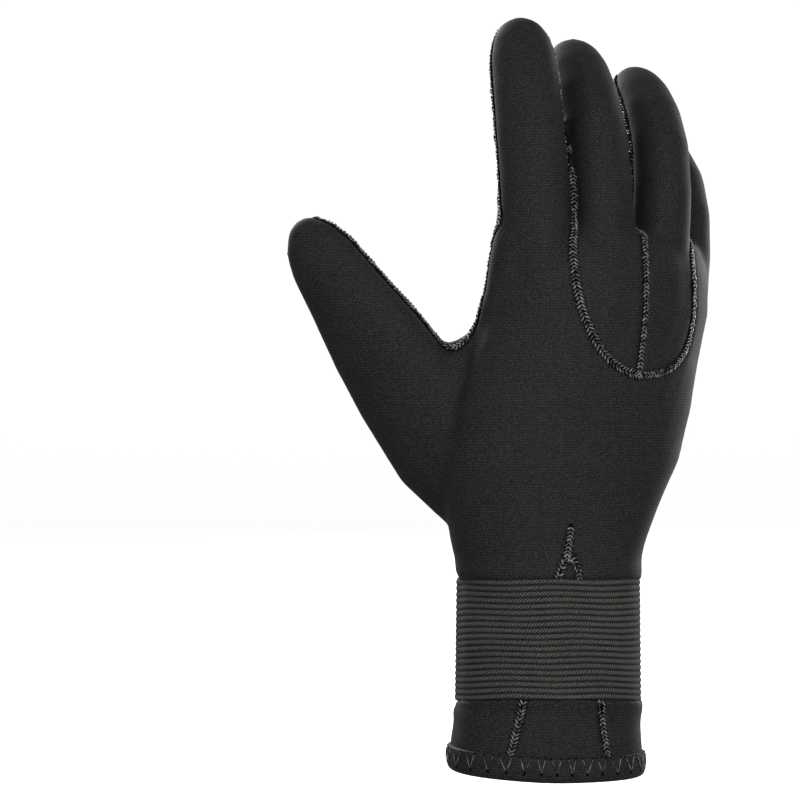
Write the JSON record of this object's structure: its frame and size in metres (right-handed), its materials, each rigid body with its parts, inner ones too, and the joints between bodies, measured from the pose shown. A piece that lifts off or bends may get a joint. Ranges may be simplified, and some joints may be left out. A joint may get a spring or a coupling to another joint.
{
  "type": "diving glove",
  "caption": "Right-hand neoprene diving glove, shown filled, with a dotted grip palm, sewn knuckle panels, a wrist gusset, a ribbed elastic wrist strap and a turned cuff hem.",
  "frame": {"origin": "centre of the cuff opening, at the edge of the hem, where the hand goes in", "axes": "+Z from the cuff to the fingertips, -Y out of the back of the hand, +Y out of the palm, -X towards the thumb"},
  "size_m": [0.1622, 0.1193, 0.2806],
  "materials": {
    "neoprene": "matt black nylon jersey laminated on 3 mm neoprene foam",
    "grip_neoprene": "matt black neoprene with raised glossy rubber grip dots",
    "elastic_webbing": "ribbed charcoal woven elastic"
  },
  "bodies": {
    "root": {"palm_panel": "grip_neoprene", "back_panel": "neoprene", "knuckle_panel_middle": "neoprene", "knuckle_panel_ring": "neoprene", "wrist_gusset": "neoprene", "elastic_strap": "elastic_webbing", "cuff_hem": "neoprene"}
  },
  "joints": []
}
